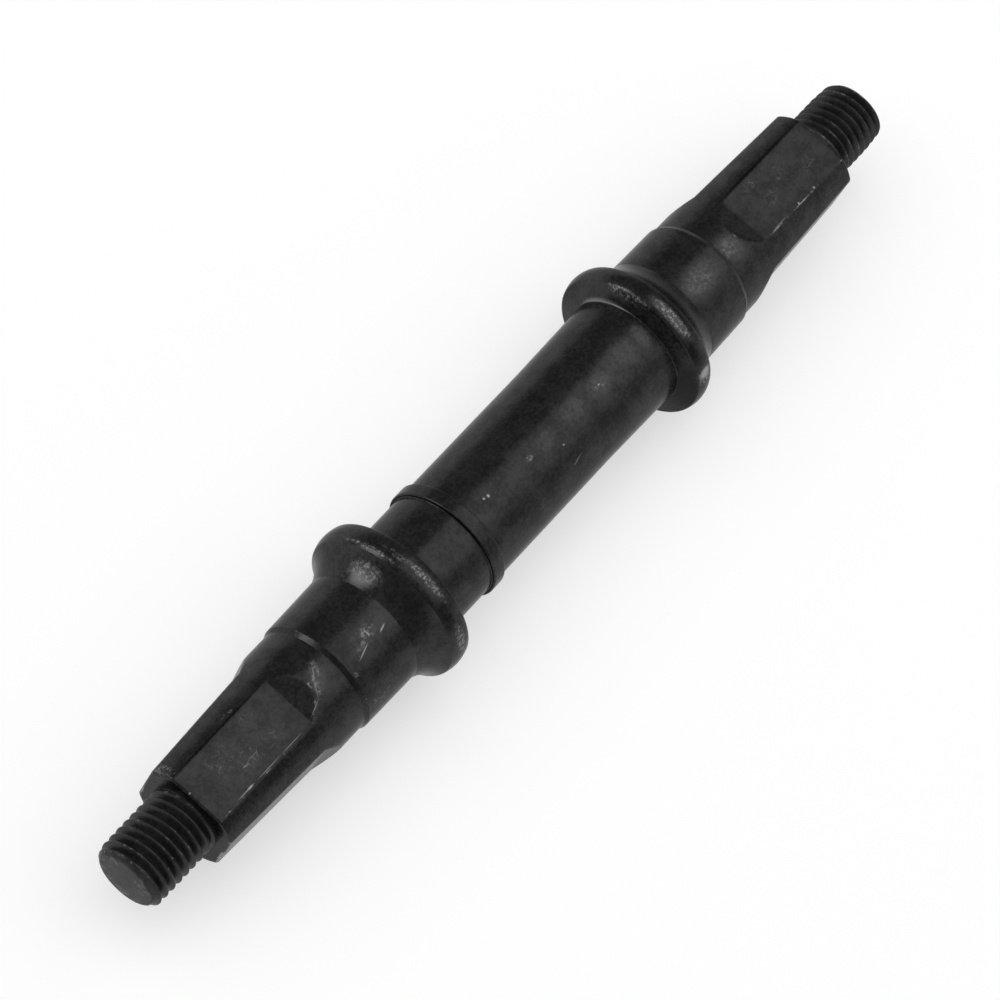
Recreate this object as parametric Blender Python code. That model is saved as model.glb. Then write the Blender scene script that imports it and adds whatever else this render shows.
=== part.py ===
"""Bicycle bottom bracket axle: one forged and turned steel shaft.

The axle lies along X with its origin half-way between its two end faces. From each end inward it has a
screw thread, a square taper for the crank, a plain neck, and a ball race with its flange. A barrel joins the
two races. All sizes are in metres.
"""

import math
from dataclasses import dataclass

import bmesh
import bpy

MM = 0.001

# The barrel, between the inner edges of the two flanges, and the narrow collar near its left end.
BARREL_LENGTH = 47.35 * MM
BARREL_RADIUS = 7.85 * MM
BARREL_SWELL = 0.2 * MM
BARREL_SWELL_LENGTH = 14 * MM
BARREL_FILLET = 0.25 * MM
COLLAR_RADIUS = 8.33 * MM
COLLAR_WIDTH = 2.05 * MM
COLLAR_DISTANCE = 8.65 * MM
COLLAR_ROUND = 0.12 * MM

# The square taper: its size at the small end, the slope of its flats and the width that they leave flat.
SQUARE_ACROSS_FLATS = 12.65 * MM
TAPER_ANGLE = math.radians(2)
FLAT_WIDTH = 7.64 * MM
RUN_OUT_ANGLE = math.radians(18.2)
SQUARE_CHAMFER = 0.3 * MM

# The screw threads, both right-handed.
THREAD_RADIUS = 4.84 * MM
THREAD_PITCH = 1.25 * MM
THREAD_DEPTH = 0.7 * MM
THREAD_CREST = 0.3 * MM
THREAD_CHAMFER_ANGLE = math.radians(48)
THREAD_FADE = 1.6 * MM

# The races: a step up from the neck, a shoulder that widens inward, a cove for the balls and a flange.
RING_STEP = 0.32 * MM
RING_LENGTH = 0.65 * MM
SHOULDER_WIDENING = 0.13 * MM
COVE_RADIUS = 3.4 * MM
RIM_CROWN = 0.32 * MM
RIM_ROUND = 0.25 * MM
FACE_DRAFT = 0.65 * MM


@dataclass
class Side:
    """One end of the axle. A distance is measured outward from the inner edge of the flange's rim."""

    direction: int
    barrel_radius: float
    flange_radius: float
    flange_width: float
    cove_width: float
    shoulder_length: float
    neck_length: float
    flat_length: float
    thread_length: float
    thread_chamfer: float


LEFT = Side(
    direction=-1,
    barrel_radius=BARREL_RADIUS,
    flange_radius=11.26 * MM,
    flange_width=3.26 * MM,
    cove_width=3.6 * MM,
    shoulder_length=9.05 * MM,
    neck_length=7.19 * MM,
    flat_length=17.05 * MM,
    thread_length=10.8 * MM,
    thread_chamfer=0.9 * MM,
)
RIGHT = Side(
    direction=1,
    barrel_radius=BARREL_RADIUS + BARREL_SWELL,
    flange_radius=11.08 * MM,
    flange_width=2.8 * MM,
    cove_width=3.55 * MM,
    shoulder_length=7.7 * MM,
    neck_length=6.2 * MM,
    flat_length=17.8 * MM,
    thread_length=10.85 * MM,
    thread_chamfer=0.6 * MM,
)

# How finely round shapes are drawn.
BODY_SEGMENTS = 64
THREAD_SEGMENTS = 24
COVE_STEPS = 6
CROWN_STEPS = 5
ROUND_STEPS = 2
OVERLAP = 1.0 * MM
MERGE_DISTANCE = 0.001 * MM
SHARP_ANGLE = math.radians(32)

STEEL_COLOUR = (0.030, 0.030, 0.031, 1.0)
STEEL_METALLIC = 0.6
STEEL_ROUGHNESS = 0.45

HALF_SQUARE_SMALL = SQUARE_ACROSS_FLATS / 2
HALF_SQUARE_LARGEST = HALF_SQUARE_SMALL + max(LEFT.flat_length, RIGHT.flat_length) * math.tan(TAPER_ANGLE)
CORNER_RADIUS_SMALL = math.hypot(HALF_SQUARE_SMALL, FLAT_WIDTH / 2)
NECK_RADIUS = math.hypot(HALF_SQUARE_LARGEST, FLAT_WIDTH / 2)
RING_RADIUS = NECK_RADIUS + RING_STEP
SHOULDER_RADIUS = RING_RADIUS + SHOULDER_WIDENING


def ring_start(side):
    """The lengths from the rim's inner edge outward add up to each of these distances."""
    return side.flange_width + side.cove_width + side.shoulder_length


def flat_inner_end(side):
    return ring_start(side) + RING_LENGTH + side.neck_length


def square_end(side):
    return flat_inner_end(side) + side.flat_length


def reach(side):
    return square_end(side) + side.thread_length


def rim_inner_edge(side):
    """Where the inner edge of this side's flange is on the X axis."""
    barrel_middle = (reach(LEFT) - reach(RIGHT)) / 2
    return barrel_middle + side.direction * BARREL_LENGTH / 2


def outward(side, distance):
    return rim_inner_edge(side) + side.direction * distance


def half_square_inner(side):
    """Half the distance across the flats at their inner end."""
    return HALF_SQUARE_SMALL + side.flat_length * math.tan(TAPER_ANGLE)


def arc(centre, radius, start, end, steps):
    """Points along an arc, with angles in degrees from the outward direction towards a larger radius."""
    points = []
    for step in range(steps + 1):
        angle = math.radians(start + (end - start) * step / steps)
        points.append((centre[0] + radius * math.cos(angle), centre[1] + radius * math.sin(angle)))
    return points


def rim_points(side):
    """The flange's rounded edge, its crowned rim and the edge where the cove starts."""
    half = side.flange_width / 2
    crown_radius = (half**2 + RIM_CROWN**2) / (2 * RIM_CROWN)
    crown_centre = (half, side.flange_radius - crown_radius)
    lean = math.degrees(math.asin((half - RIM_ROUND) / crown_radius))
    edge_radius = crown_centre[1] + crown_radius * math.cos(math.radians(lean))
    points = arc((RIM_ROUND, edge_radius - RIM_ROUND), RIM_ROUND, 180, 90 + lean, ROUND_STEPS)
    end_lean = math.degrees(math.asin(half / crown_radius))
    points += arc(crown_centre, crown_radius, 90 + lean, 90 - end_lean, CROWN_STEPS)[1:]
    return points


def cove_points(side):
    """The ball race: a hollow arc from the rim down to the shoulder."""
    rim = (side.flange_width, side.flange_radius - RIM_CROWN)
    foot = (rim[0] + side.cove_width, SHOULDER_RADIUS)
    chord = math.dist(rim, foot)
    fall = math.atan2(rim[1] - foot[1], side.cove_width)
    half_sweep = math.asin(chord / 2 / COVE_RADIUS)
    end = 270 - math.degrees(fall - half_sweep)
    start = end - 2 * math.degrees(half_sweep)
    centre_angle = math.radians(end)
    centre_x = foot[0] - COVE_RADIUS * math.cos(centre_angle)
    centre = (centre_x, foot[1] - COVE_RADIUS * math.sin(centre_angle))
    return arc(centre, COVE_RADIUS, start, end, COVE_STEPS)[1:]


def side_profile(side):
    """(distance, radius) points from the barrel out to the end of the square."""
    fillet_centre = (-FACE_DRAFT - BARREL_FILLET, side.barrel_radius + BARREL_FILLET)
    points = arc(fillet_centre, BARREL_FILLET, -90, 0, ROUND_STEPS)
    points += rim_points(side)
    points += cove_points(side)
    ring = ring_start(side)
    square = square_end(side)
    points += [(ring, RING_RADIUS), (ring + RING_LENGTH, NECK_RADIUS)]
    points.append((flat_inner_end(side), NECK_RADIUS))
    points.append((square - SQUARE_CHAMFER, CORNER_RADIUS_SMALL))
    points.append((square, CORNER_RADIUS_SMALL - SQUARE_CHAMFER))
    return points


def collar_points():
    """The collar, with its two edges rounded."""
    start = outward(LEFT, -COLLAR_DISTANCE)
    end = start + COLLAR_WIDTH
    return [
        (start, BARREL_RADIUS),
        (start, COLLAR_RADIUS - COLLAR_ROUND),
        (start + COLLAR_ROUND, COLLAR_RADIUS),
        (end - COLLAR_ROUND, COLLAR_RADIUS),
        (end, COLLAR_RADIUS - COLLAR_ROUND),
        (end, BARREL_RADIUS),
    ]


def body_profile():
    """(x, radius) points of the whole turned shape, from the left square end to the right one."""
    left = [(outward(LEFT, distance), radius) for distance, radius in side_profile(LEFT)]
    right = [(outward(RIGHT, distance), radius) for distance, radius in side_profile(RIGHT)]
    swell_start = (outward(RIGHT, -BARREL_SWELL_LENGTH), BARREL_RADIUS)
    return left[::-1] + collar_points() + [swell_start] + right


def finished_mesh(name, shape):
    """The bmesh as a new mesh, with its faces turned outward."""
    bmesh.ops.recalc_face_normals(shape, faces=shape.faces)
    mesh = bpy.data.meshes.new(name)
    shape.to_mesh(mesh)
    shape.free()
    return mesh


def turned_mesh(name, profile):
    """The profile spun about the X axis and closed with a flat face at each end."""
    shape = bmesh.new()
    verts = [shape.verts.new((x, 0.0, radius)) for x, radius in profile]
    edges = [shape.edges.new(pair) for pair in zip(verts, verts[1:])]
    bmesh.ops.spin(
        shape,
        geom=verts + edges,
        axis=(1, 0, 0),
        cent=(0, 0, 0),
        angle=math.tau,
        steps=BODY_SEGMENTS,
        use_merge=True,
    )
    bmesh.ops.remove_doubles(shape, verts=shape.verts, dist=MERGE_DISTANCE)
    open_edges = [edge for edge in shape.edges if edge.is_boundary]
    bmesh.ops.holes_fill(shape, edges=open_edges)
    return finished_mesh(name, shape)


def flat_cutter_mesh(side):
    """A block that cuts one flat: its sole follows the taper, then climbs out of the neck."""
    top = NECK_RADIUS + OVERLAP
    inner = flat_inner_end(side)
    outer = square_end(side) + OVERLAP
    climb = (top - half_square_inner(side)) / math.tan(RUN_OUT_ANGLE)
    outline = [
        (inner - climb, top),
        (inner, half_square_inner(side)),
        (outer, HALF_SQUARE_SMALL - OVERLAP * math.tan(TAPER_ANGLE)),
        (outer, top),
    ]
    shape = bmesh.new()
    verts = [shape.verts.new((outward(side, distance), -top, height)) for distance, height in outline]
    face = shape.faces.new(verts)
    swept = bmesh.ops.extrude_face_region(shape, geom=[face])["geom"]
    moved = [item for item in swept if isinstance(item, bmesh.types.BMVert)]
    bmesh.ops.translate(shape, verts=moved, vec=(0, 2 * top, 0))
    return finished_mesh("flat_cutter", shape)


def thread_radius(share):
    """Radius at this share of a pitch: up a flank, along the crest and down the next flank."""
    root = THREAD_RADIUS - THREAD_DEPTH
    flank = (1 - THREAD_CREST / THREAD_PITCH) / 2
    climb = min(share, 1 - share) / flank
    return root + THREAD_DEPTH * min(climb, 1.0)


def thread_point(side, x, segment):
    """The thread's surface at x in one of the segments round it, faded out near the square."""
    turn_share = segment / THREAD_SEGMENTS
    share = (x - outward(side, reach(side))) / THREAD_PITCH - turn_share
    radius = thread_radius(share % 1.0)
    from_square = abs(x - rim_inner_edge(side)) - square_end(side)
    fade = min(max(from_square / THREAD_FADE, 0.0), 1.0)
    radius = THREAD_RADIUS - (THREAD_RADIUS - radius) * fade
    from_end = abs(outward(side, reach(side)) - x)
    chamfer = THREAD_RADIUS - side.thread_chamfer + from_end * math.tan(THREAD_CHAMFER_ANGLE)
    radius = min(radius, chamfer)
    angle = math.tau * turn_share
    return (x, -radius * math.sin(angle), radius * math.cos(angle))


def thread_mesh(side):
    """A right-handed thread about X, cut flat at its outer end and just inside the square."""
    outer = outward(side, reach(side))
    inner = outward(side, square_end(side) - OVERLAP)
    low, high = min(outer, inner), max(outer, inner)
    crest = THREAD_CREST / THREAD_PITCH
    shares = (0.0, (1 - crest) / 2, (1 + crest) / 2)
    first_turn = math.floor((low - outer) / THREAD_PITCH) - 1
    last_turn = math.ceil((high - outer) / THREAD_PITCH) + 1
    rows = [turn + share for turn in range(first_turn, last_turn) for share in shares]
    shape = bmesh.new()
    rings = []
    for row in rows:
        ring = []
        for segment in range(THREAD_SEGMENTS + 1):
            x = outer + (row + segment / THREAD_SEGMENTS) * THREAD_PITCH
            x = min(max(x, low), high)
            ring.append(shape.verts.new(thread_point(side, x, segment)))
        rings.append(ring)
    for here, there in zip(rings, rings[1:]):
        for segment in range(THREAD_SEGMENTS):
            shape.faces.new((here[segment], here[segment + 1], there[segment + 1], there[segment]))
    bmesh.ops.remove_doubles(shape, verts=shape.verts, dist=MERGE_DISTANCE)
    bmesh.ops.dissolve_degenerate(shape, edges=shape.edges, dist=MERGE_DISTANCE)
    open_edges = [edge for edge in shape.edges if edge.is_boundary]
    bmesh.ops.holes_fill(shape, edges=open_edges)
    return finished_mesh("thread", shape)


def steel():
    """Steel with a thin black oxide finish."""
    material = bpy.data.materials.new("black_steel")
    material.use_nodes = True
    shader = material.node_tree.nodes["Principled BSDF"]
    shader.inputs["Base Color"].default_value = STEEL_COLOUR
    shader.inputs["Metallic"].default_value = STEEL_METALLIC
    shader.inputs["Roughness"].default_value = STEEL_ROUGHNESS
    return material


def add_object(name, mesh):
    item = bpy.data.objects.new(name, mesh)
    bpy.context.scene.collection.objects.link(item)
    return item


def add_tool(name, mesh):
    """A shape that only cuts or joins another, and isn't rendered."""
    tool = add_object(name, mesh)
    tool.hide_render = True
    tool.display_type = "WIRE"
    return tool


def combine(target, tool, operation):
    boolean = target.modifiers.new(tool.name, "BOOLEAN")
    boolean.operation = operation
    boolean.solver = "EXACT"
    boolean.object = tool


def make_axle():
    mesh = turned_mesh("axle", body_profile())
    mesh.materials.append(steel())
    mesh.shade_smooth()
    mesh.set_sharp_from_angle(angle=SHARP_ANGLE)
    axle = add_object("axle", mesh)
    axle.rotation_euler.x = math.pi / BODY_SEGMENTS
    for side, side_name in ((LEFT, "left"), (RIGHT, "right")):
        cutter_mesh = flat_cutter_mesh(side)
        for quarter in range(4):
            cutter = add_tool(f"{side_name}_flat_cutter_{quarter}", cutter_mesh)
            cutter.rotation_euler.x = quarter * math.pi / 2
            combine(axle, cutter, "DIFFERENCE")
        thread = add_tool(f"{side_name}_thread", thread_mesh(side))
        combine(axle, thread, "UNION")
    return axle


def main():
    for item in list(bpy.data.objects):
        bpy.data.objects.remove(item, do_unlink=True)
    make_axle()


main()
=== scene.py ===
"""Looks of a bicycle bottom bracket axle: blackened steel with worn edges, lying on a pale floor.

The axle lies along X. Its lengths are in millimetres until the finished mesh is scaled to metres.
An angle round the axle is measured from +Z towards -Y, so it turns right-handed about +X.
"""

import math
from dataclasses import dataclass

import bmesh
import bpy
import numpy as np
from mathutils import Matrix, Vector, noise


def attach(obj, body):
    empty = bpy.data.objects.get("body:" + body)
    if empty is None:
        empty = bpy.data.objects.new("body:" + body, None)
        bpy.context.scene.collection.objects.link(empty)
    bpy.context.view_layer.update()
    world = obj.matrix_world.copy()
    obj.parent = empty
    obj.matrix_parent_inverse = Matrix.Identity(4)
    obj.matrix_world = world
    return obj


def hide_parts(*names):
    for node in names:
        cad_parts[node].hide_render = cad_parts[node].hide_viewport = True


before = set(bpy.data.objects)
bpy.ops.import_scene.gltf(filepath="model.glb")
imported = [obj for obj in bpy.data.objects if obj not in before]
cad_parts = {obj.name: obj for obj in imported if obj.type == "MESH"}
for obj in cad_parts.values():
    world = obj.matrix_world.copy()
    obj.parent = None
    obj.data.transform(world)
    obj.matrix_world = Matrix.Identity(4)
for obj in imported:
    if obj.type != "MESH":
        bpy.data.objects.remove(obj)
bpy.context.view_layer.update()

MM = 0.001
NODE = "axle"
BODY = "root"

# The barrel between the inner edges of the two flanges, and the narrow collar near its left end.
BARREL_LENGTH = 47.35
BARREL_RADIUS = 7.85
BARREL_SWELL = 0.2
BARREL_SWELL_LENGTH = 14
COLLAR_RADIUS = 8.33
COLLAR_WIDTH = 2.05
COLLAR_DISTANCE = 8.65
COLLAR_ROUND = 0.2
COLLAR_FILLET = 0.14

# The square taper. Each flat ends in a run-out that climbs to the neck.
SQUARE_ACROSS_FLATS = 12.65
TAPER_SLOPE = math.tan(math.radians(2))
FLAT_WIDTH = 7.64
RUN_OUT_SLOPE = math.tan(math.radians(18.2))
SQUARE_CHAMFER = 0.3
FLAT_EDGE_ROUND = 0.16

# The screw threads, both right-handed.
THREAD_RADIUS = 4.84
THREAD_PITCH = 1.25
THREAD_DEPTH = 0.8
THREAD_CREST = 0.24
THREAD_WORN_LENGTH = 3.2
THREAD_ROUND = 0.16
THREAD_FIRST_ANGLE = -math.pi / 4
TIP_ROUND = 0.5
THREAD_CHAMFER_SLOPE = math.tan(math.radians(48))

# The races: a step up from the neck, a shoulder that widens inward, a cove for the balls and a flange.
RING_STEP = 0.32
RING_LENGTH = 0.65
RING_ROUND = 0.08
SHOULDER_WIDENING = 0.13
COVE_RADIUS = 7.0
COVE_EDGE_ROUND = 0.2
COVE_FOOT_ROUND = 0.06
RIM_CROWN = 0.32
RIM_ROUND = 0.25
FACE_DRAFT = 0.65
FACE_FILLET = 0.1

# How far each edge is worn down to bare steel, from 0 to 1. One long edge of each flat is worn fully,
# and the other by the share FLAT_SECOND_EDGE_WEAR. Threads are worn near their crests, and the wear
# fades over one part in THREAD_WEAR_FALL of their height.
COVE_EDGE_WEAR = 0.3
SHOULDER_EDGE_WEAR = 0.55
COLLAR_LEFT_WEAR = 0.3
COLLAR_RIGHT_WEAR = 0.2
FLAT_SECOND_EDGE_WEAR = 0.25
SQUARE_CORNER_WEAR = 0.9
SQUARE_FACE_WEAR = 0.2
THREAD_CREST_WEAR = 0.5
THREAD_WEAR_FALL = 3
TIP_EDGE_WEAR = 0.5

# How finely the surface is drawn, with rings round the axle, at most a step apart, and lines along it.
# The body has twice as many lines as a thread. Counted from a flat's middle, line EDGE_LINE follows the
# flat's edge. CORNER_GUARD is how far past a corner's rounding an extra ring keeps the surface flat, and
# OUTLINE_LEAD is how far an outline runs before or after its outermost corner on the barrel.
THREAD_LINES = 112
LINES_PER_QUARTER = THREAD_LINES // 2
EDGE_LINE = 19
THREAD_ROWS_PER_TURN = 10
THREAD_SPARE_TURNS = 2
BARREL_STEP = 1.6
SHOULDER_STEP = 0.7
RUN_OUT_STEP = 0.16
SQUARE_STEP = 0.9
STEP_TOLERANCE = 0.01
CORNER_GUARD = 0.12
OUTLINE_LEAD = 1.0
ARC_STEPS = 4
CROWN_STEPS = 9
COVE_STEPS = 12
SQUARE_END_STEPS = 5
MERGE_DISTANCE = 0.002
SHARP_ANGLE = math.radians(33)

# The slight unevenness of the forged skin.
SKIN_HEIGHT = 0.012
SKIN_LENGTH = 6.0


@dataclass(frozen=True)
class Side:
    """One end of the axle. Its lengths run outward from the inner edge of the flange's rim."""

    direction: int
    barrel_radius: float
    flange_radius: float
    flange_width: float
    cove_width: float
    shoulder_length: float
    neck_length: float
    flat_length: float
    thread_length: float
    thread_chamfer: float
    thread_fade: float
    thread_worn: float

    @property
    def ring_start(self):
        return self.flange_width + self.cove_width + self.shoulder_length

    @property
    def flat_inner_end(self):
        return self.ring_start + RING_LENGTH + self.neck_length

    @property
    def square_end(self):
        return self.flat_inner_end + self.flat_length

    @property
    def reach(self):
        return self.square_end + self.thread_length


LEFT = Side(
    direction=-1,
    barrel_radius=BARREL_RADIUS,
    flange_radius=11.26,
    flange_width=3.26,
    cove_width=3.6,
    shoulder_length=9.05,
    neck_length=7.19,
    flat_length=17.05,
    thread_length=10.8,
    thread_chamfer=0.9,
    thread_fade=0.6,
    thread_worn=0.05,
)
RIGHT = Side(
    direction=1,
    barrel_radius=BARREL_RADIUS + BARREL_SWELL,
    flange_radius=11.08,
    flange_width=2.8,
    cove_width=3.55,
    shoulder_length=7.7,
    neck_length=6.2,
    flat_length=17.8,
    thread_length=10.85,
    thread_chamfer=0.6,
    thread_fade=2.4,
    thread_worn=0.25,
)

HALF_SQUARE_SMALL = SQUARE_ACROSS_FLATS / 2
HALF_SQUARE_LARGEST = HALF_SQUARE_SMALL + max(LEFT.flat_length, RIGHT.flat_length) * TAPER_SLOPE
CORNER_RADIUS_SMALL = math.hypot(HALF_SQUARE_SMALL, FLAT_WIDTH / 2)
NECK_RADIUS = math.hypot(HALF_SQUARE_LARGEST, FLAT_WIDTH / 2)
RING_RADIUS = NECK_RADIUS + RING_STEP
SHOULDER_RADIUS = RING_RADIUS + SHOULDER_WIDENING
BARREL_MIDDLE = (LEFT.reach - RIGHT.reach) / 2


def along(side, distance):
    """The place on the X axis that lies this far outward from the flange's inner edge."""
    return BARREL_MIDDLE + side.direction * (BARREL_LENGTH / 2 + distance)


def smooth_min(a, b, width):
    """The lower of two heights, with the crease between them rounded over this width."""
    overlap = np.clip(width - np.abs(a - b), 0, None) / width
    return np.minimum(a, b) - overlap**2 * width / 4


def arc(centre, radius, start, end, steps):
    """(x, r) points along an arc, with angles in degrees."""
    turns = np.radians(np.linspace(start, end, steps + 1))
    return [(centre[0] + radius * math.cos(a), centre[1] + radius * math.sin(a)) for a in turns]


@dataclass
class Corner:
    """A point of a turned outline, with its rounding and how far its edge is worn."""

    x: float
    r: float
    round: float = 0.0
    wear: float = 0.0


def rounding(corner, before, after):
    """The (x, r, wear) rows of a corner's arc, between two unworn rows on the lines that it joins."""
    here = Vector((corner.x, corner.r))
    back = (Vector((before.x, before.r)) - here).normalized()
    ahead = (Vector((after.x, after.r)) - here).normalized()
    half = back.angle(ahead) / 2
    reach = corner.round / math.tan(half)
    guard_reach = reach + min(CORNER_GUARD, corner.round)
    centre = here + (back + ahead).normalized() * corner.round / math.sin(half)
    first = here + back * reach - centre
    last = here + ahead * reach - centre
    sweep = math.pi - 2 * half
    side = 1 if first.x * last.y > first.y * last.x else -1
    rows = [(*(here + back * guard_reach), 0.0)]
    for step in range(ARC_STEPS + 1):
        turn = Matrix.Rotation(side * sweep * step / ARC_STEPS, 2)
        rows.append((*(centre + turn @ first), corner.wear))
    rows.append((*(here + ahead * guard_reach), 0.0))
    return rows


def rounded(corners):
    """The outline as (x, r, wear) rows, with an arc in place of each corner that has a rounding."""
    rows = []
    for index, corner in enumerate(corners):
        if corner.round:
            rows += rounding(corner, corners[index - 1], corners[index + 1])
        else:
            rows.append((corner.x, corner.r, corner.wear))
    return rows


def crown(side):
    """The flange's broad, slightly crowned rim, from its rounded inner edge to the cove."""
    half = side.flange_width / 2
    radius = (half**2 + RIM_CROWN**2) / (2 * RIM_CROWN)
    centre = (half, side.flange_radius - radius)
    lean = math.degrees(math.asin((half - RIM_ROUND) / radius))
    edge = centre[1] + radius * math.cos(math.radians(lean))
    points = arc((RIM_ROUND, edge - RIM_ROUND), RIM_ROUND, 180, 90 + lean, ARC_STEPS)
    end_lean = math.degrees(math.asin(half / radius))
    return points + arc(centre, radius, 90 + lean, 90 - end_lean, CROWN_STEPS)[1:-1]


def cove(side):
    """The hollow ball race, from just past the rim down to just before the shoulder."""
    rim = Vector((side.flange_width, side.flange_radius - RIM_CROWN))
    foot = Vector((side.flange_width + side.cove_width, SHOULDER_RADIUS))
    fall = math.atan2(rim.y - foot.y, side.cove_width)
    half_sweep = math.asin((rim - foot).length / 2 / COVE_RADIUS)
    end = 270 - math.degrees(fall - half_sweep)
    start = end - 2 * math.degrees(half_sweep)
    turn = math.radians(end)
    centre = foot - Vector((math.cos(turn), math.sin(turn))) * COVE_RADIUS
    return arc(centre, COVE_RADIUS, start, end, COVE_STEPS)[1:-1]


def side_outline(side):
    """The turned outline of one side as corners, from the barrel out to the end of the square."""
    rim_edge = side.flange_radius - RIM_CROWN
    shoulder = side.flange_width + side.cove_width
    return [
        Corner(-FACE_DRAFT - OUTLINE_LEAD, side.barrel_radius),
        Corner(-FACE_DRAFT, side.barrel_radius, FACE_FILLET),
        *[Corner(x, r) for x, r in crown(side)],
        Corner(side.flange_width, rim_edge, COVE_EDGE_ROUND, COVE_EDGE_WEAR),
        *[Corner(x, r) for x, r in cove(side)],
        Corner(shoulder, SHOULDER_RADIUS, COVE_FOOT_ROUND, SHOULDER_EDGE_WEAR),
        Corner(side.ring_start, RING_RADIUS, RING_ROUND, SHOULDER_EDGE_WEAR),
        Corner(side.ring_start + RING_LENGTH, NECK_RADIUS, RING_ROUND),
        Corner(side.flat_inner_end, NECK_RADIUS),
        Corner(side.square_end - SQUARE_CHAMFER, CORNER_RADIUS_SMALL),
    ]


def collar_outline():
    """The collar's outline, from left to right."""
    start = along(LEFT, -COLLAR_DISTANCE)
    end = start + COLLAR_WIDTH
    return [
        Corner(start - OUTLINE_LEAD, BARREL_RADIUS),
        Corner(start, BARREL_RADIUS, COLLAR_FILLET),
        Corner(start, COLLAR_RADIUS, COLLAR_ROUND, COLLAR_LEFT_WEAR),
        Corner(end, COLLAR_RADIUS, COLLAR_ROUND, COLLAR_RIGHT_WEAR),
        Corner(end, BARREL_RADIUS, COLLAR_FILLET),
        Corner(end + OUTLINE_LEAD, BARREL_RADIUS),
    ]


def step_at(x):
    """The widest spacing of rings at this place on the X axis."""
    for side in (LEFT, RIGHT):
        distance = side.direction * (x - along(side, 0))
        if distance > side.flat_inner_end:
            return SQUARE_STEP
        climb = (NECK_RADIUS - HALF_SQUARE_SMALL - side.flat_length * TAPER_SLOPE) / RUN_OUT_SLOPE
        if distance > side.flat_inner_end - climb - SHOULDER_STEP:
            return RUN_OUT_STEP
        if distance > 0:
            return SHOULDER_STEP
    return BARREL_STEP


def divided(rows):
    """The outline's rows with more rows between those that lie too far apart."""
    result = [rows[0]]
    for here, there in zip(rows, rows[1:]):
        gap = math.hypot(there[0] - here[0], there[1] - here[1])
        count = max(1, math.ceil(gap / step_at((here[0] + there[0]) / 2) - STEP_TOLERANCE))
        for step in range(1, count + 1):
            result.append(tuple(a + (b - a) * step / count for a, b in zip(here, there)))
    return result


def body_outline():
    """The whole turned outline as (x, r, wear) rows, from the left square's end to the right one's."""
    left = [(along(LEFT, x), r, wear) for x, r, wear in rounded(side_outline(LEFT))]
    right = [(along(RIGHT, x), r, wear) for x, r, wear in rounded(side_outline(RIGHT))]
    swell = (along(RIGHT, -BARREL_SWELL_LENGTH), BARREL_RADIUS, 0.0)
    collar = rounded(collar_outline())
    return divided(left[::-1] + collar + [swell] + right)


def flat_height(x):
    """Height of each flat over the axle's centre line: the taper, then the climb out of the neck."""
    heights = []
    for side in (LEFT, RIGHT):
        distance = side.direction * (x - along(side, 0))
        inner = HALF_SQUARE_SMALL + side.flat_length * TAPER_SLOPE
        past = side.flat_inner_end - distance
        heights.append(inner + np.where(past > 0, past * RUN_OUT_SLOPE, past * TAPER_SLOPE))
    return np.where(x < 0, heights[0], heights[1])


def line_angles(height):
    """Angles of the lines round one ring, with one line along each edge of each flat."""
    edge = np.arctan2(FLAT_WIDTH / 2, height)
    half = LINES_PER_QUARTER // 2
    lines = np.arange(-half, half)
    inside = edge * lines / EDGE_LINE
    outside = edge + (math.pi / 4 - edge) * (np.abs(lines) - EDGE_LINE) / (half - EDGE_LINE)
    quarter = np.where(np.abs(lines) <= EDGE_LINE, inside, np.sign(lines) * outside)
    return np.concatenate([quarter + turn * math.pi / 2 for turn in range(4)])


def from_flat(angles):
    """Angles measured from the middle of the nearest flat."""
    return (angles + math.pi / 4) % (math.pi / 2) - math.pi / 4


def ring(x, radius, wear=0.0):
    """One ring of the body, cut by its four flats: its angles, its radii and how worn each point is."""
    height = flat_height(np.array(x))
    corner = max(HALF_SQUARE_SMALL, min(height, HALF_SQUARE_LARGEST))
    angles = line_angles(corner)
    flat = height / np.cos(from_flat(angles))
    radii = smooth_min(np.full_like(angles, radius), flat, FLAT_EDGE_ROUND)
    edge = np.exp(-(((flat - radius) / (FLAT_EDGE_ROUND / 2)) ** 2))
    edge *= np.where(from_flat(angles) > 0, 1.0, FLAT_SECOND_EDGE_WEAR)
    return angles, radii, np.maximum(edge, wear)


def points_of(x, angles, radii):
    """Points at these angles and distances round the X axis."""
    x = np.broadcast_to(x, angles.shape)
    return np.stack([x, -radii * np.sin(angles), radii * np.cos(angles)], axis=1)


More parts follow.
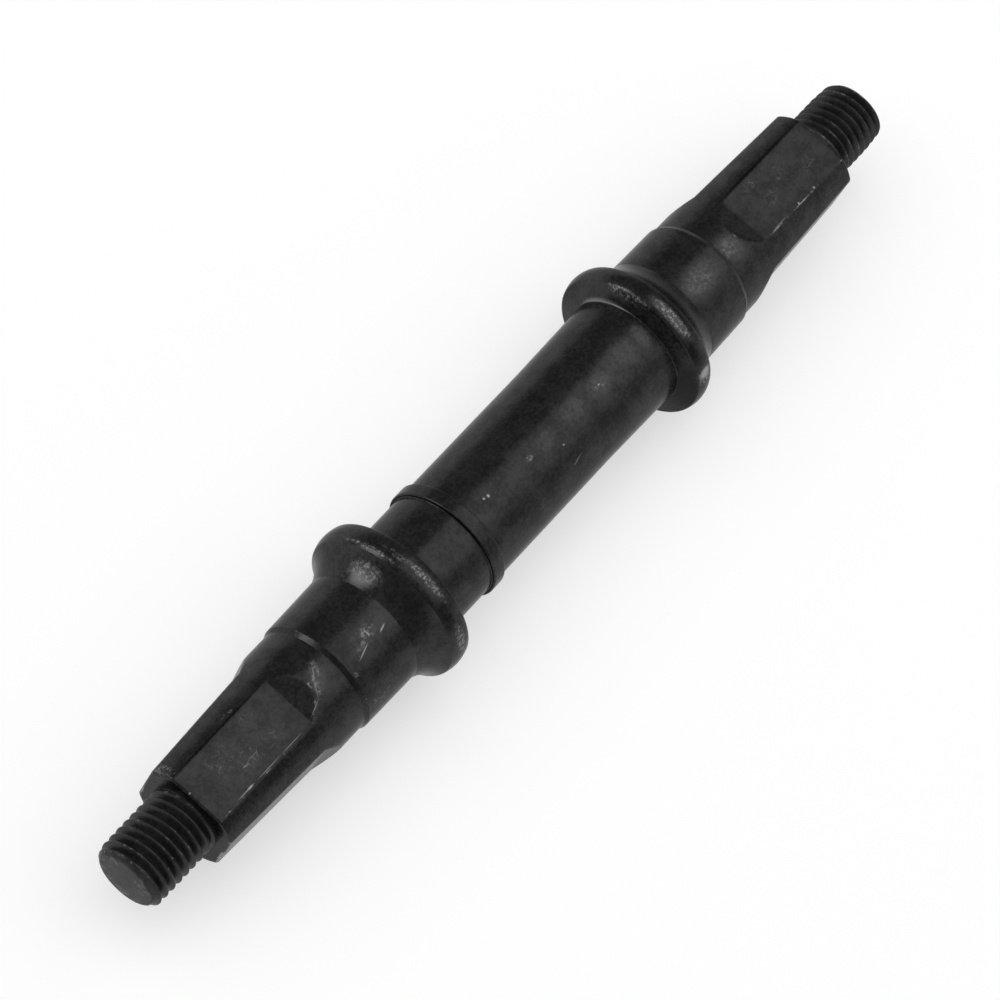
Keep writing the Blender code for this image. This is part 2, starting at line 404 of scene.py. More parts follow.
class Shell:
    """Collects rings of points and the faces between them."""

    def __init__(self):
        self.points = []
        self.wear = []
        self.faces = []

    def add_ring(self, points, wear):
        """Adds a ring of points. Returns the number of its first point, and how many it has."""
        first = sum(len(part) for part in self.points)
        self.points.append(points)
        self.wear.append(np.broadcast_to(wear, len(points)))
        return first, len(points)

    def join(self, here, there):
        """Faces between two rings. The first has as many points as the second, or twice as many."""
        (a, count), (b, other) = here, there
        if count == other:
            for k in range(count):
                after = (k + 1) % count
                self.faces.append((a + k, a + after, b + after, b + k))
            return
        for k in range(other):
            after = (k + 1) % other
            middle = 2 * k + 1
            self.faces.append((a + 2 * k, a + middle, a + (middle + 1) % count, b + after, b + k))

    def join_helix(self, rows, rows_per_turn):
        """Faces between rows that each run one turn of a helix and go on in the row one turn later."""
        for index in range(len(rows) - 1):
            (a, count), (b, _) = rows[index], rows[index + 1]
            for k in range(count - 1):
                self.faces.append((a + k, a + k + 1, b + k + 1, b + k))
            later = index + rows_per_turn
            if later + 1 < len(rows):
                self.faces.append((a + count - 1, rows[later][0], rows[later + 1][0], b + count - 1))

    def cap(self, last):
        """Closes a ring with one face."""
        first, count = last
        self.faces.append(tuple(range(first, first + count)))

    def mesh(self, name):
        """The rings as one closed mesh in metres, with a wear attribute."""
        points = np.concatenate(self.points) * MM
        mesh = bpy.data.meshes.new(name)
        mesh.from_pydata(points.tolist(), [], self.faces)
        worn = mesh.attributes.new("wear", "FLOAT", "POINT")
        worn.data.foreach_set("value", np.concatenate(self.wear).astype(np.float32))
        shape = bmesh.new()
        shape.from_mesh(mesh)
        bmesh.ops.remove_doubles(shape, verts=shape.verts, dist=MERGE_DISTANCE * MM)
        bmesh.ops.dissolve_degenerate(shape, edges=shape.edges, dist=MERGE_DISTANCE * MM)
        bmesh.ops.triangulate(shape, faces=[face for face in shape.faces if len(face.verts) > 4])
        bmesh.ops.recalc_face_normals(shape, faces=shape.faces)
        shape.to_mesh(mesh)
        shape.free()
        mesh.shade_smooth()
        mesh.set_sharp_from_angle(angle=SHARP_ANGLE)
        return mesh


def add_body(shell):
    """The barrel, races, necks and squares. Returns the rings at the left and right ends."""
    rings = []
    for x, radius, wear in body_outline():
        angles, radii, worn = ring(x, radius, wear)
        rings.append(shell.add_ring(points_of(x, angles, radii), worn))
    for here, there in zip(rings, rings[1:]):
        shell.join(here, there)
    return rings[0], rings[-1]


def add_square_end(shell, side, last):
    """The rounded end of the square and its flat face, from the last ring in to the screw thread."""
    end = along(side, side.square_end)
    angles, outer, _ = ring(end - side.direction * SQUARE_CHAMFER, CORNER_RADIUS_SMALL)
    sideways = np.abs(np.sin(angles)) > HALF_SQUARE_SMALL / CORNER_RADIUS_SMALL
    wear = np.where(sideways, SQUARE_CORNER_WEAR, 0.0)
    for step in range(1, ARC_STEPS + 1):
        turn = math.pi / 2 * step / ARC_STEPS
        x = end - side.direction * SQUARE_CHAMFER * (1 - math.sin(turn))
        radii = outer - SQUARE_CHAMFER * (1 - math.cos(turn))
        last = link(shell, last, points_of(x, angles, radii), wear)
    even = np.linspace(0, math.tau, len(angles), endpoint=False) + angles[0]
    radii = outer - SQUARE_CHAMFER
    for step in range(1, SQUARE_END_STEPS + 1):
        share = step / SQUARE_END_STEPS
        here = radii + (THREAD_RADIUS - radii) * share
        turned = angles + (even - angles) * share
        last = link(shell, last, points_of(end, turned, here), SQUARE_FACE_WEAR)
    return last


def link(shell, last, points, wear):
    """Adds a ring and joins it to the one before."""
    new = shell.add_ring(points, wear)
    shell.join(last, new)
    return new


def thread_height(share):
    """Height over the thread's root, from 0 to 1, at this share of a pitch."""
    flank = (1 - THREAD_CREST / THREAD_PITCH) / 2
    climb = np.minimum(share, 1 - share) / flank
    lifted = smooth_min(climb, np.ones_like(climb), THREAD_ROUND)
    return -smooth_min(-lifted, np.full_like(climb, -THREAD_ROUND / 2), THREAD_ROUND)


def thread_surface(side, x, angles):
    """Radii and wear of a screw thread at these places, cut off by the chamfer at its tip."""
    tip = along(side, side.reach)
    root = along(side, side.square_end)
    height = thread_height(((x - tip) / THREAD_PITCH - angles / math.tau) % 1.0)
    depth = THREAD_DEPTH * np.clip(np.abs(x - root) / side.thread_fade, 0, 1)
    worn = side.thread_worn * np.clip(1 - np.abs(tip - x) / THREAD_WORN_LENGTH, 0, 1)
    chamfer = THREAD_RADIUS - side.thread_chamfer + np.abs(tip - x) * THREAD_CHAMFER_SLOPE
    radii = np.minimum(THREAD_RADIUS - worn - depth * (1 - height), chamfer)
    crest = np.clip(1 - THREAD_WEAR_FALL * (1 - height), 0, 1)
    return radii, crest * THREAD_CREST_WEAR


def add_thread(shell, side, last):
    """The screw thread from the square's face to its tip, drawn along its own helix."""
    lean = math.atan(THREAD_CHAMFER_SLOPE)
    round_length = TIP_ROUND * (1 - math.sin(lean))
    tip = along(side, side.reach - round_length)
    root = along(side, side.square_end)
    low, high = min(tip, root), max(tip, root)
    turns = np.arange(THREAD_LINES) / THREAD_LINES
    angles = THREAD_FIRST_ANGLE + math.tau * turns
    all_turns = math.ceil((high - low) / THREAD_PITCH) + 2 * THREAD_SPARE_TURNS
    rows = []
    for row in range(all_turns * THREAD_ROWS_PER_TURN):
        x = low + (row / THREAD_ROWS_PER_TURN - THREAD_SPARE_TURNS + turns) * THREAD_PITCH
        x = np.clip(x, low, high)
        radii, wear = thread_surface(side, x, angles)
        rows.append(shell.add_ring(points_of(x, angles, radii), wear))
    shell.join_helix(rows, THREAD_ROWS_PER_TURN)
    inner, outer = (rows[-1], rows[0]) if side is LEFT else (rows[0], rows[-1])
    shell.join(last, inner)
    add_tip(shell, side, outer, angles, lean)


def add_tip(shell, side, last, angles, lean):
    """The rounded edge of the end face and the face itself."""
    edge = side.thread_chamfer - TIP_ROUND * ((1 - math.sin(lean)) * math.tan(lean) - math.cos(lean))
    radii, _ = thread_surface(side, np.array(along(side, side.reach)), angles)
    for step in range(1, ARC_STEPS + 1):
        turn = lean + (math.pi / 2 - lean) * step / ARC_STEPS
        x = along(side, side.reach - TIP_ROUND * (1 - math.sin(turn)))
        limit = THREAD_RADIUS - edge + TIP_ROUND * math.cos(turn)
        last = link(shell, last, points_of(x, angles, np.minimum(radii, limit)), TIP_EDGE_WEAR)
    shell.cap(last)


def roughen(shell):
    """Moves each point by the forged skin's slight unevenness."""
    for part in shell.points:
        for point in part:
            place = Vector(point) / SKIN_LENGTH
            push = noise.noise(place) * SKIN_HEIGHT
            radius = math.hypot(point[1], point[2])
            point[1] += push * point[1] / radius
            point[2] += push * point[2] / radius


def make_axle():
    """The axle's skin as one object."""
    shell = Shell()
    ends = add_body(shell)
    for side, last in zip((LEFT, RIGHT), ends):
        add_thread(shell, side, add_square_end(shell, side, last))
    roughen(shell)
    axle = bpy.data.objects.new("blackened_axle", shell.mesh("blackened_axle"))
    bpy.context.scene.collection.objects.link(axle)
    return axle


# The steel's finish. Colours are linear.
# The next colour is painted shade, laid on by the painted-shade marks below, not a colour of the steel.
PAINTED_SHADE = (0.006, 0.006, 0.006, 1)
OXIDE_DARK = (0.023, 0.023, 0.023, 1)
OXIDE_PALE = (0.043, 0.043, 0.043, 1)
# The next colour is partly dust and partly painted sheen.
DUST_AND_SHEEN = (0.115, 0.115, 0.115, 1)
BARE_STEEL = (0.36, 0.36, 0.36, 1)
EDGE_TINT = (0.6, 0.6, 0.6, 1)

# How metallic each part of the finish is. Threads are less so by THREAD_DULLNESS.
OXIDE_METALLIC = 0.82
DUST_AND_SHEEN_METALLIC = 0.4
BARE_METALLIC = 0.95
THREAD_DULLNESS = 0.15

# Roughness of the oxide, which varies between two values, and what is added to it elsewhere.
OXIDE_ROUGHNESS = (0.22, 0.32)
DUST_AND_SHEEN_ROUGHNESS = 0.2
THREAD_ROUGHNESS = 0.1
BARE_ROUGHNESS = 0.2

# Sizes of the finish's noises, in millimetres, and how high four of them stand in its bump.
MILLIMETRES = 1000.0
PATCH_SIZE = 4.0
BLOTCH_SIZE = 2.4
CURL_SIZE = 1.8
FINE_SIZE = 0.5
TURNING_SIZE = 0.22
GRAIN_SIZE = 0.2
BLOTCH_HEIGHT = 0.010
FINE_HEIGHT = 0.005
GRAIN_HEIGHT = 0.0025
TURNING_HEIGHT = 0.0015

# The fine noise's share in the specks, with grain, and in the haze, with blotches.
FINE_IN_SPECKS = 0.6
FINE_IN_HAZE = 0.45

# Values between which each effect rises from its least strength to its full strength. Where no least
# strength is named, it is 0. THREAD_RANGE is a distance from the centre line in millimetres.
NOISE_MIDDLE = 0.5
GLOSS_RANGE = (0.3, 0.7)
HAZE_RANGE = (0.38, 0.62)
THREAD_RANGE = (SQUARE_ACROSS_FLATS * 0.45, THREAD_RADIUS)
PATCH_RANGE = (0.40, 0.62)
PATCH_LEAST = 0.3
DUST_AND_SHEEN_RANGE = (0.34, 0.68)
DUST_AND_SHEEN_LEAST = 0.3
FLECK_RANGE = (0.50, 0.59)
FLECK_LEAST = 0.08
WEAR_RANGE = (0.45, 0.95)
WEAR_RAGGEDNESS = 1.2
CURL_RANGE = (0.022, 0.0)
CURL_DISTORTION = 1.6
CURL_STRENGTH = 0.19

# The distance round the axle is measured at this radius, in millimetres. A mark fades in between its
# edge, at 1, and this share of its half length and half width.
MARK_RADIUS = 8.0
MARK_CORE = 0.35

# Numbers of the Mix node's colour sockets, because its other sockets have the same names.
MIX_COLOUR_A = 6
MIX_COLOUR_B = 7
MIX_COLOUR_RESULT = 2


class Graph:
    """Adds nodes to a material and joins them."""

    def __init__(self, name):
        self.material = bpy.data.materials.new(name)
        self.material.use_nodes = True
        self.nodes = self.material.node_tree.nodes
        self.links = self.material.node_tree.links

    def add(self, kind, inputs=None, **settings):
        """A new node of this kind, with its settings and with values or sockets for its inputs."""
        node = self.nodes.new(kind)
        for name, value in settings.items():
            setattr(node, name, value)
        for name, value in (inputs or {}).items():
            self.feed(node.inputs[name], value)
        return node

    def feed(self, socket, value):
        """Joins another socket to this one, or sets its value."""
        if isinstance(value, bpy.types.NodeSocket):
            self.links.new(value, socket)
        else:
            socket.default_value = value

    def maths(self, operation, a, b=0.0, c=0.0):
        return self.add("ShaderNodeMath", {0: a, 1: b, 2: c}, operation=operation).outputs[0]

    def weighed(self, a, b, share):
        """A mixture of two numbers, with this share of the first."""
        return self.maths("MULTIPLY_ADD", a, share, self.maths("MULTIPLY", b, 1 - share))

    def with_parts(self, total, parts):
        """A number with parts added, each of them another number and the share of it that is added."""
        for value, share in parts:
            total = self.maths("MULTIPLY_ADD", value, share, total)
        return total

    def scaled(self, vector, scale):
        inputs = {"Vector": vector, "Scale": scale}
        return self.add("ShaderNodeVectorMath", inputs, operation="SCALE").outputs["Vector"]

    def length(self, vector):
        inputs = {"Vector": vector}
        return self.add("ShaderNodeVectorMath", inputs, operation="LENGTH").outputs["Value"]

    def noise(self, place, size, detail=2.0, roughness=0.5, distortion=0.0):
        """Noise whose features are about this many millimetres wide."""
        inputs = {
            "Vector": place,
            "Scale": 1 / size,
            "Detail": detail,
            "Roughness": roughness,
            "Distortion": distortion,
        }
        return self.add("ShaderNodeTexNoise", inputs).outputs["Fac"]

    def ramp(self, value, low, high, start=0.0, end=1.0):
        """A smooth step from start to end, as the value goes from low to high."""
        inputs = {"Value": value, "From Min": low, "From Max": high, "To Min": start, "To Max": end}
        return self.add("ShaderNodeMapRange", inputs, interpolation_type="SMOOTHSTEP").outputs[0]

    def mix(self, share, a, b):
        """A mixture of two colours, with this share of the second."""
        inputs = {"Factor": share, MIX_COLOUR_A: a, MIX_COLOUR_B: b}
        return self.add("ShaderNodeMix", inputs, data_type="RGBA").outputs[MIX_COLOUR_RESULT]


@dataclass
class Mark:
    """A mark on the surface: its middle's place along X in millimetres and its angle in degrees.

    Its half length and half width are in millimetres. Its slant, in degrees, turns it from the X axis.
    """

    x: float
    angle: float
    length: float
    width: float
    slant: float = 0.0
    strength: float = 1.0


# Dull, greyish patches: partly dust and partly painted sheen, as most lie in the highlights and brighten
# them, and one lightens the right flange's shaded inner face.
DUST_AND_SHEEN_MARKS = [
    Mark(x=-27.8, angle=-25, length=1.7, width=2.8, strength=0.9),
    Mark(x=-33.2, angle=8, length=4.2, width=2.2, strength=0.25),
    Mark(x=-42.0, angle=4, length=2.8, width=1.5, slant=-55, strength=0.4),
    Mark(x=-55.0, angle=0, length=12.0, width=5.0, strength=0.14),
    Mark(x=2.6, angle=7, length=2.6, width=1.6, strength=0.3),
    Mark(x=8.3, angle=5, length=3.0, width=1.8, strength=0.4),
    Mark(x=13.4, angle=7, length=3.0, width=2.0, strength=0.45),
    Mark(x=18.6, angle=3, length=3.4, width=2.4, strength=0.35),
    Mark(x=22.6, angle=4, length=1.6, width=2.4, strength=0.5),
    Mark(x=25.85, angle=11, length=1.0, width=3.2, strength=0.4),
    Mark(x=34.4, angle=9, length=4.2, width=2.8, strength=0.6),
    Mark(x=41.2, angle=10, length=2.2, width=2.8, slant=-30, strength=0.55),
    Mark(x=64.4, angle=0, length=1.4, width=7.0, strength=0.3),
    Mark(x=23.5, angle=42, length=0.9, width=5.5, strength=0.45),
    Mark(x=23.5, angle=-45, length=0.9, width=5.0, strength=0.3),
    Mark(x=5.8, angle=-66, length=3.6, width=1.8, strength=0.3),
    Mark(x=24.4, angle=5, length=0.5, width=7.5, strength=0.4),
]
# Speckles of bare steel.
SCUFFS = [
    Mark(x=-24.2, angle=12, length=0.65, width=3.4, strength=0.7),
    Mark(x=-24.4, angle=-12, length=0.5, width=2.4, strength=0.4),
    Mark(x=-25.4, angle=-29, length=0.34, width=3.8, strength=0.7),
    Mark(x=-24.4, angle=61, length=0.9, width=2.2, strength=0.9),
    Mark(x=-27.6, angle=-25, length=1.3, width=2.4, strength=0.6),
    Mark(x=-26.6, angle=-101, length=1.0, width=1.2, strength=0.5),
    Mark(x=-33.4, angle=7, length=1.7, width=1.0, slant=10, strength=0.5),
    Mark(x=-35.0, angle=13, length=2.0, width=0.6, slant=-18, strength=0.3),
    Mark(x=-42.6, angle=6, length=2.6, width=0.5, slant=-58, strength=0.55),
    Mark(x=-41.5, angle=-3, length=1.6, width=0.7, slant=-50, strength=0.5),
    Mark(x=-38.1, angle=26, length=0.5, width=0.5, strength=0.6),
    Mark(x=25.85, angle=11, length=0.85, width=3.3, strength=1.0),
    Mark(x=24.72, angle=-23, length=0.38, width=3.2, strength=0.8),
    Mark(x=25.9, angle=62, length=1.4, width=1.4, strength=1.0),
    Mark(x=-0.9, angle=7, length=0.7, width=0.5, strength=0.6),
    Mark(x=13.2, angle=8, length=1.2, width=0.5, slant=20, strength=0.4),
    Mark(x=-62.7, angle=-50, length=0.9, width=3.0, strength=0.6),
    Mark(x=-52.4, angle=-35, length=1.3, width=0.5, strength=0.55),
    Mark(x=-36.6, angle=64, length=2.8, width=1.1, strength=0.22),
    Mark(x=34.0, angle=7, length=3.2, width=1.7, strength=0.17),
    Mark(x=40.9, angle=8, length=1.8, width=1.7, slant=-30, strength=0.24),
]
# Scratches and chips down to bare steel.
SCRATCHES = [
    Mark(x=-35.4, angle=17.3, length=1.6, width=0.11, slant=-18, strength=0.7),
    Mark(x=-31.5, angle=14.6, length=0.8, width=0.14, slant=-16, strength=0.9),
    Mark(x=-33.4, angle=9.0, length=0.16, width=0.5, strength=0.8),
    Mark(x=-44.9, angle=20.8, length=1.5, width=0.1, slant=-24, strength=0.4),
    Mark(x=-43.0, angle=8.6, length=1.9, width=0.09, slant=-58, strength=0.35),
    Mark(x=-41.8, angle=-2.0, length=1.1, width=0.08, slant=-52, strength=0.6),
    Mark(x=-41.3, angle=1.0, length=0.8, width=0.06, slant=-48, strength=0.4),
    Mark(x=-9.3, angle=2.4, length=0.24, width=0.2, strength=0.9),
    Mark(x=-8.6, angle=3.4, length=0.26, width=0.3, strength=1.0),
    Mark(x=3.96, angle=21.5, length=0.2, width=0.16, strength=1.0),
    Mark(x=4.5, angle=42.6, length=1.2, width=0.08, slant=-20, strength=0.6),
    Mark(x=13.3, angle=7, length=0.26, width=0.14, strength=0.9),
    Mark(x=26.1, angle=59.5, length=1.3, width=0.75, slant=-12, strength=1.0),
    Mark(x=-58.3, angle=28.9, length=1.9, width=0.1, slant=-1, strength=0.55),
    Mark(x=-57.6, angle=28.8, length=0.7, width=0.16, slant=-1, strength=1.0),
    Mark(x=-54.2, angle=28.4, length=2.6, width=0.08, slant=-1, strength=0.4),
    Mark(x=-50.0, angle=28.0, length=2.4, width=0.08, slant=-1, strength=0.35),
    Mark(x=53.5, angle=28.5, length=0.22, width=0.2, slant=-40, strength=1.0),
    Mark(x=56.9, angle=29, length=0.22, width=0.2, slant=-40, strength=1.0),
    Mark(x=49.2, angle=28, length=1.9, width=0.07, slant=1, strength=0.4),
    Mark(x=-63.2, angle=-10, length=0.18, width=0.18, strength=1.0),
    Mark(x=-56.0, angle=12.6, length=0.5, width=0.08, slant=5, strength=0.7),
    Mark(x=24.0, angle=-48, length=0.22, width=6.0, strength=0.55),
]
# Painted shade: dark lines along the +Y edge of each top flat, for a dark reflection, and a patch on the
# -Y side of the right flange's inner face, for reflected floor shadow.
PAINTED_SHADE_MARKS = [
    Mark(x=-55.5, angle=-30.4, length=12.0, width=0.17, slant=1, strength=0.8),
    Mark(x=54.0, angle=-30.4, length=12.0, width=0.28, slant=-1, strength=0.7),
    Mark(x=24.4, angle=78, length=0.7, width=6.0, strength=0.8),
]
# Fine curling scratches on the flats.
SWIRLS = [
    Mark(x=-57.6, angle=-8, length=2.6, width=2.8),
    Mark(x=-54.8, angle=9, length=2.8, width=2.0),
    Mark(x=-50.6, angle=11, length=2.8, width=1.6),
    Mark(x=-51.6, angle=-21, length=2.0, width=0.9),
    Mark(x=50.6, angle=-20, length=2.2, width=1.2),
    Mark(x=55.6, angle=-8, length=2.8, width=1.8),
    Mark(x=58.6, angle=8, length=2.4, width=1.6),
    Mark(x=51.0, angle=4, length=2.4, width=1.4),
]


def mark_mask(graph, surface, marks):
    """The strongest of these marks at each point of the surface, from 0 to 1."""
    total = None
    for mark in marks:
        around = math.radians(mark.angle) * MARK_RADIUS
        inputs = {
            "Vector": surface,
            "Location": (mark.x, around, 0),
            "Rotation": (0, 0, math.radians(mark.slant)),
            "Scale": (mark.length, mark.width, 1),
        }
        place = graph.add("ShaderNodeMapping", inputs, vector_type="TEXTURE").outputs["Vector"]
        shade = graph.ramp(graph.length(place), 1.0, MARK_CORE, 0.0, mark.strength)
        total = shade if total is None else graph.maths("MAXIMUM", total, shade)
    return total


def worn_edges(graph, place, fine):
    """Where the edges are worn: the mesh's wear, broken up into patches and with a ragged outline."""
    wear = graph.add("ShaderNodeAttribute", attribute_name="wear").outputs["Fac"]
    patches = graph.ramp(graph.noise(place, PATCH_SIZE), *PATCH_RANGE, PATCH_LEAST)
    patchy = graph.maths("MULTIPLY", wear, patches)
    uneven = graph.maths("SUBTRACT", fine, NOISE_MIDDLE)
    ragged = graph.maths("MULTIPLY_ADD", uneven, WEAR_RAGGEDNESS, patchy)
    return graph.ramp(ragged, *WEAR_RANGE)


def swirls(graph, place, surface):
    """Fine curling lines, which follow the middle value of a distorted noise."""
    curls = graph.noise(place, CURL_SIZE, detail=1, distortion=CURL_DISTORTION)
    from_middle = graph.maths("ABSOLUTE", graph.maths("SUBTRACT", curls, NOISE_MIDDLE))
    line = graph.ramp(from_middle, *CURL_RANGE, 0.0, CURL_STRENGTH)
    return graph.maths("MULTIPLY", line, mark_mask(graph, surface, SWIRLS))


def bare_steel_mask(graph, place, surface, fine, specks):
    """How far the finish is worn through at each point: edges, speckles, scratches and swirls."""
    flecks = graph.ramp(specks, *FLECK_RANGE, FLECK_LEAST)
    speckle = graph.maths("MULTIPLY", flecks, mark_mask(graph, surface, SCUFFS))
    bare = graph.maths("MAXIMUM", worn_edges(graph, place, fine), speckle)
    bare = graph.maths("MAXIMUM", bare, mark_mask(graph, surface, SCRATCHES))
    return graph.maths("MAXIMUM", bare, swirls(graph, place, surface))


def surface_places(graph):
    """Each point's place in three forms, and its distance from the centre line, in millimetres.

    The forms are the place itself, (along, around) on the unrolled surface, and (along, radius, angle)
    for the marks left by turning.
    """
    coordinates = graph.add("ShaderNodeTexCoord").outputs["Object"]
    place = graph.scaled(coordinates, MILLIMETRES)
    x, y, z = graph.add("ShaderNodeSeparateXYZ", {0: place}).outputs
    angle = graph.maths("ARCTAN2", graph.maths("MULTIPLY", y, -1.0), z)
    radius = graph.maths("SQRT", graph.maths("MULTIPLY_ADD", y, y, graph.maths("MULTIPLY", z, z)))
    around = graph.maths("MULTIPLY", angle, MARK_RADIUS)
    surface = graph.add("ShaderNodeCombineXYZ", {0: x, 1: around}).outputs[0]
    turned = graph.add("ShaderNodeCombineXYZ", {0: x, 1: radius, 2: angle}).outputs[0]
    return place, surface, turned, radius


def oxide_colour(graph, surface, blotches, fine, dust_and_sheen):
    """The black oxide's colour, hazy, darkened in places by painted shade, and covered in places by dust
    and painted sheen.
    """
    haze = graph.weighed(fine, blotches, FINE_IN_HAZE)
    oxide = graph.mix(graph.ramp(haze, *HAZE_RANGE), OXIDE_DARK, OXIDE_PALE)
    # Painted shade: near-black laid on where the painted-shade marks lie.
    oxide = graph.mix(mark_mask(graph, surface, PAINTED_SHADE_MARKS), oxide, PAINTED_SHADE)
    return graph.mix(dust_and_sheen, oxide, DUST_AND_SHEEN)


def metallic_share(graph, bare, dust_and_sheen, thread):
    """How metallic the surface is: less under dust and painted sheen and in the threads, more where it
    is bare.
    """
    metallic = graph.ramp(dust_and_sheen, 0, 1, OXIDE_METALLIC, DUST_AND_SHEEN_METALLIC)
    metallic = graph.maths("MULTIPLY_ADD", thread, -THREAD_DULLNESS, metallic)
    return graph.maths("MAXIMUM", metallic, graph.maths("MULTIPLY", bare, BARE_METALLIC))


def black_steel():
    """Steel with a thin black oxide finish: mottled and scuffed, with turning marks and worn edges, dust
    and painted sheen, and painted shade in places.
    """
    graph = Graph("black_steel")
    shader = graph.nodes["Principled BSDF"]
    shader.inputs["Specular Tint"].default_value = EDGE_TINT
    place, surface, turned, radius = surface_places(graph)
    thread = graph.ramp(radius, *THREAD_RANGE)
    blotches = graph.noise(place, BLOTCH_SIZE, detail=6, roughness=0.62)
    fine = graph.noise(place, FINE_SIZE, detail=4, roughness=0.6)
    grain = graph.noise(place, GRAIN_SIZE, detail=2, roughness=0.6)
    turning = graph.noise(turned, TURNING_SIZE, detail=3, roughness=0.6)
    specks = graph.weighed(fine, grain, FINE_IN_SPECKS)
    bare = bare_steel_mask(graph, place, surface, fine, specks)
    # Dust and painted sheen: greyish patches, most of them in the highlights, which they brighten.
    dust_and_sheen = graph.ramp(specks, *DUST_AND_SHEEN_RANGE, DUST_AND_SHEEN_LEAST)
    dust_and_sheen = graph.maths("MULTIPLY", dust_and_sheen, mark_mask(graph, surface, DUST_AND_SHEEN_MARKS))

    oxide = oxide_colour(graph, surface, blotches, fine, dust_and_sheen)
    graph.feed(shader.inputs["Base Color"], graph.mix(bare, oxide, BARE_STEEL))
    graph.feed(shader.inputs["Metallic"], metallic_share(graph, bare, dust_and_sheen, thread))
    roughness = graph.ramp(fine, *GLOSS_RANGE, *OXIDE_ROUGHNESS)
    added = [(dust_and_sheen, DUST_AND_SHEEN_ROUGHNESS), (thread, THREAD_ROUGHNESS), (bare, BARE_ROUGHNESS)]
    graph.feed(shader.inputs["Roughness"], graph.with_parts(roughness, added))

    height = graph.maths("MULTIPLY", blotches, BLOTCH_HEIGHT)
    added = [(fine, FINE_HEIGHT), (grain, GRAIN_HEIGHT), (turning, TURNING_HEIGHT)]
    height = graph.with_parts(height, added)
    bump = graph.add("ShaderNodeBump", {"Height": height, "Strength": 1.0, "Distance": MM})
    graph.feed(shader.inputs["Normal"], bump.outputs["Normal"])
    return graph.material


# The floor, the lights and the camera, in metres. The camera's lens and sensor are in millimetres.
FLOOR_RADIUS = 3.0
FLOOR_BEND = 0.25
WALL_HEIGHT = 0.45
FLOOR_LINES = 96
BEND_STEPS = 8
FLOOR_COLOUR = (0.52, 0.52, 0.52, 1)
FLOOR_ROUGHNESS = 0.9
FLOOR_GLOW = 0.52
WHITE = (1, 1, 1, 1)
WORLD_LIGHT = 0.22
AXLE_MIDDLE = (0, 0, 0)
CAMERA_PLACE = (-0.26233000, -0.03196472, 0.50032347)
CAMERA_BACK = (-0.45823913, -0.05422052, 0.88717362)
CAMERA_UP = (0.64703320, 0.66399206, 0.37478338)
CAMERA_LENS = 163.514
CAMERA_SENSOR = 36
CAMERA_NEAREST = 0.01


def pale_floor():
    """White card: a pale surface with its own light, so that it looks as white as in the photograph."""
    graph = Graph("pale_floor")
    shader = graph.nodes["Principled BSDF"]
    shader.inputs["Base Color"].default_value = FLOOR_COLOUR
    shader.inputs["Roughness"].default_value = FLOOR_ROUGHNESS
    shader.inputs["Specular IOR Level"].default_value = 0.0
    shader.inputs["Emission Color"].default_value = WHITE
    path = graph.add("ShaderNodeLightPath")
    seen = graph.maths("MAXIMUM", path.outputs["Is Camera Ray"], path.outputs["Is Glossy Ray"])
    seen = graph.maths("MAXIMUM", seen, path.outputs["Is Transmission Ray"])
    graph.feed(shader.inputs["Emission Strength"], graph.maths("MULTIPLY", seen, FLOOR_GLOW))
    return graph.material


def floor_outline():
    """The floor's (radius, height) points, from its middle to the top of its wall."""
    outline = [(0.0, 0.0)]
    bend_start = FLOOR_RADIUS - FLOOR_BEND
    for step in range(BEND_STEPS + 1):
        turn = math.pi / 2 * step / BEND_STEPS
        outline.append((bend_start + FLOOR_BEND * math.sin(turn), FLOOR_BEND * (1 - math.cos(turn))))
    outline.append((FLOOR_RADIUS, WALL_HEIGHT))
    return outline


def floor_mesh():
    """The floor's outline spun round its middle."""
    shape = bmesh.new()
    points = [shape.verts.new((radius, 0, height)) for radius, height in floor_outline()]
    edges = [shape.edges.new(pair) for pair in zip(points, points[1:])]
    bmesh.ops.spin(
        shape,
        geom=points + edges,
        cent=(0, 0, 0),
        axis=(0, 0, 1),
        angle=math.tau,
        steps=FLOOR_LINES,
        use_merge=True,
    )
    bmesh.ops.remove_doubles(shape, verts=shape.verts, dist=MM)
    bmesh.ops.recalc_face_normals(shape, faces=shape.faces)
    mesh = bpy.data.meshes.new("floor")
    shape.to_mesh(mesh)
    shape.free()
    mesh.shade_smooth()
    return mesh


def make_floor():
    """A round pale floor whose edge bends up into a low wall, so that every view has a pale ground."""
    mesh = floor_mesh()
    mesh.materials.append(pale_floor())
    floor = bpy.data.objects.new("floor", mesh)
    floor.location.z = -(LEFT.flange_radius + SKIN_HEIGHT) * MM
    bpy.context.scene.collection.objects.link(floor)


def add_panel(name, place, size, radiance, target=None, reflected=True, scattered=True):
    """A rectangular lamp, which faces down or towards a target.

    Its size is its width and length. It shows in reflections if reflected, and lights matt surfaces,
    such as the floor, if scattered.
    """
    light = bpy.data.lights.new(name, "AREA")
    light.shape = "RECTANGLE"
    light.size, light.size_y = size
    light.energy = radiance * math.pi * size[0] * size[1]
    lamp = bpy.data.objects.new(name, light)
    lamp.location = place
    if target:
        lamp.rotation_mode = "QUATERNION"
        lamp.rotation_quaternion = (Vector(target) - Vector(place)).to_track_quat("-Z", "Y")
    lamp.visible_camera = False
    lamp.visible_glossy = reflected
    lamp.visible_diffuse = scattered
    bpy.context.scene.collection.objects.link(lamp)


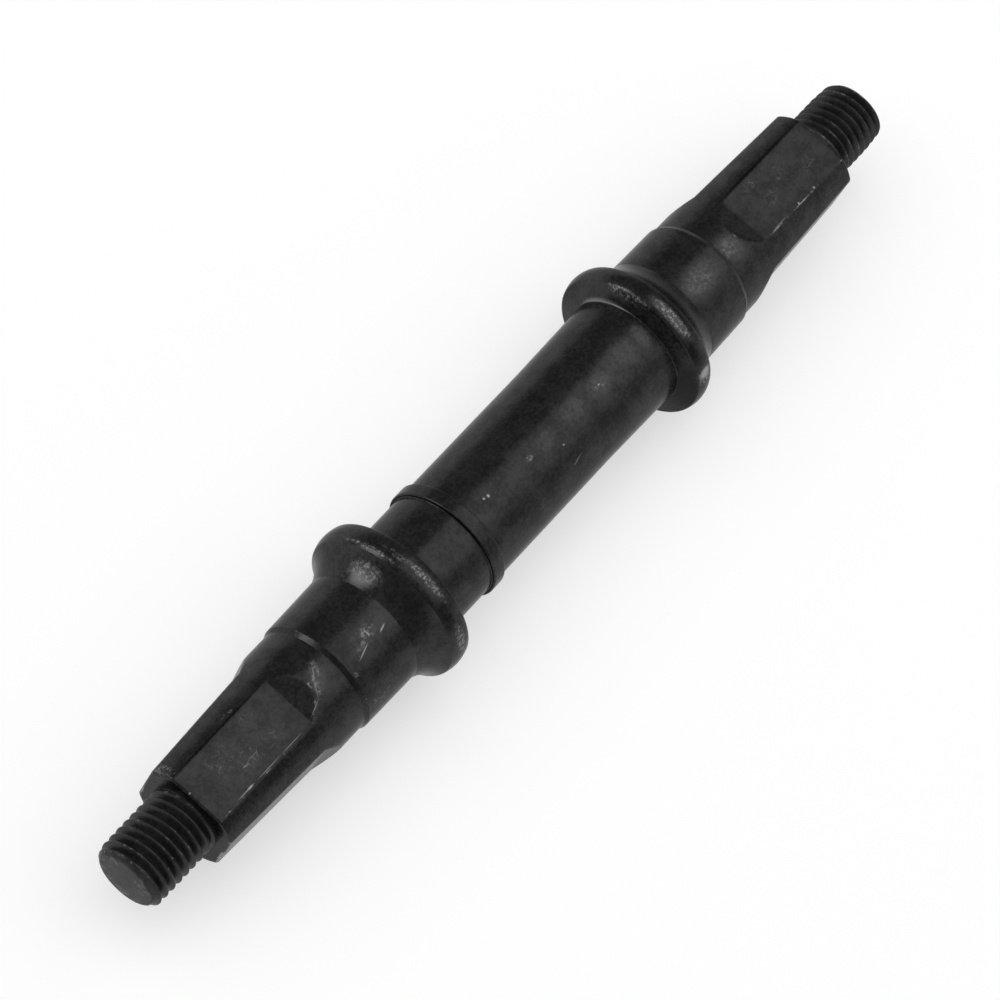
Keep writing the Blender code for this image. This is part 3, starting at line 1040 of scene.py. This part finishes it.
def make_lights():
    """A soft box overhead, low panels on the right and beyond, and lamps above and on the left."""
    add_panel("soft_box", place=(0.33, -0.13, 0.6), size=(0.76, 0.64), radiance=0.95)
    add_panel("soft_box_middle", place=(0.33, -0.20, 0.6), size=(0.76, 0.34), radiance=0.35)
    add_panel("soft_box_edge", place=(0.33, -0.57, 0.6), size=(0.76, 0.28), radiance=0.7)
    add_panel(
        "right_panel",
        place=(0.95, -1.0, 0.45),
        size=(0.9, 0.8),
        radiance=0.42,
        target=(0.95, 0, 0.1),
    )
    add_panel(
        "far_panel",
        place=(1.3, 0, 0.33),
        size=(0.9, 0.35),
        radiance=0.25,
        target=AXLE_MIDDLE,
        scattered=False,
    )
    add_panel(
        "overhead",
        place=(-0.25, 0.35, 1.2),
        size=(1.6, 1.6),
        radiance=0.45,
        reflected=False,
    )
    add_panel(
        "left_high",
        place=(-0.32, 0.44, 0.92),
        size=(1.2, 1.2),
        radiance=1.35,
        target=AXLE_MIDDLE,
        reflected=False,
    )
    add_panel(
        "left_low",
        place=(-0.34, 0.92, 0.62),
        size=(0.55, 0.55),
        radiance=3.6,
        target=AXLE_MIDDLE,
        scattered=False,
    )


def make_world():
    """A plain grey surround."""
    world = bpy.data.worlds.new("studio")
    world.use_nodes = True
    background = world.node_tree.nodes["Background"]
    background.inputs["Color"].default_value = WHITE
    background.inputs["Strength"].default_value = WORLD_LIGHT
    bpy.context.scene.world = world


def make_camera():
    """The camera at the photograph's viewing angle."""
    lens = bpy.data.cameras.new("camera")
    lens.lens = CAMERA_LENS
    lens.sensor_width = CAMERA_SENSOR
    lens.clip_start = CAMERA_NEAREST
    camera = bpy.data.objects.new("camera", lens)
    up, back = Vector(CAMERA_UP), Vector(CAMERA_BACK)
    turn = Matrix((up.cross(back), up, back)).transposed().to_4x4()
    camera.matrix_world = Matrix.Translation(CAMERA_PLACE) @ turn
    bpy.context.scene.collection.objects.link(camera)
    bpy.context.scene.camera = camera


axle = make_axle()
axle.data.materials.append(black_steel())
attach(axle, BODY)
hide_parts(NODE)
make_floor()
make_lights()
make_world()
make_camera()
bpy.context.scene.view_settings.view_transform = "Standard"
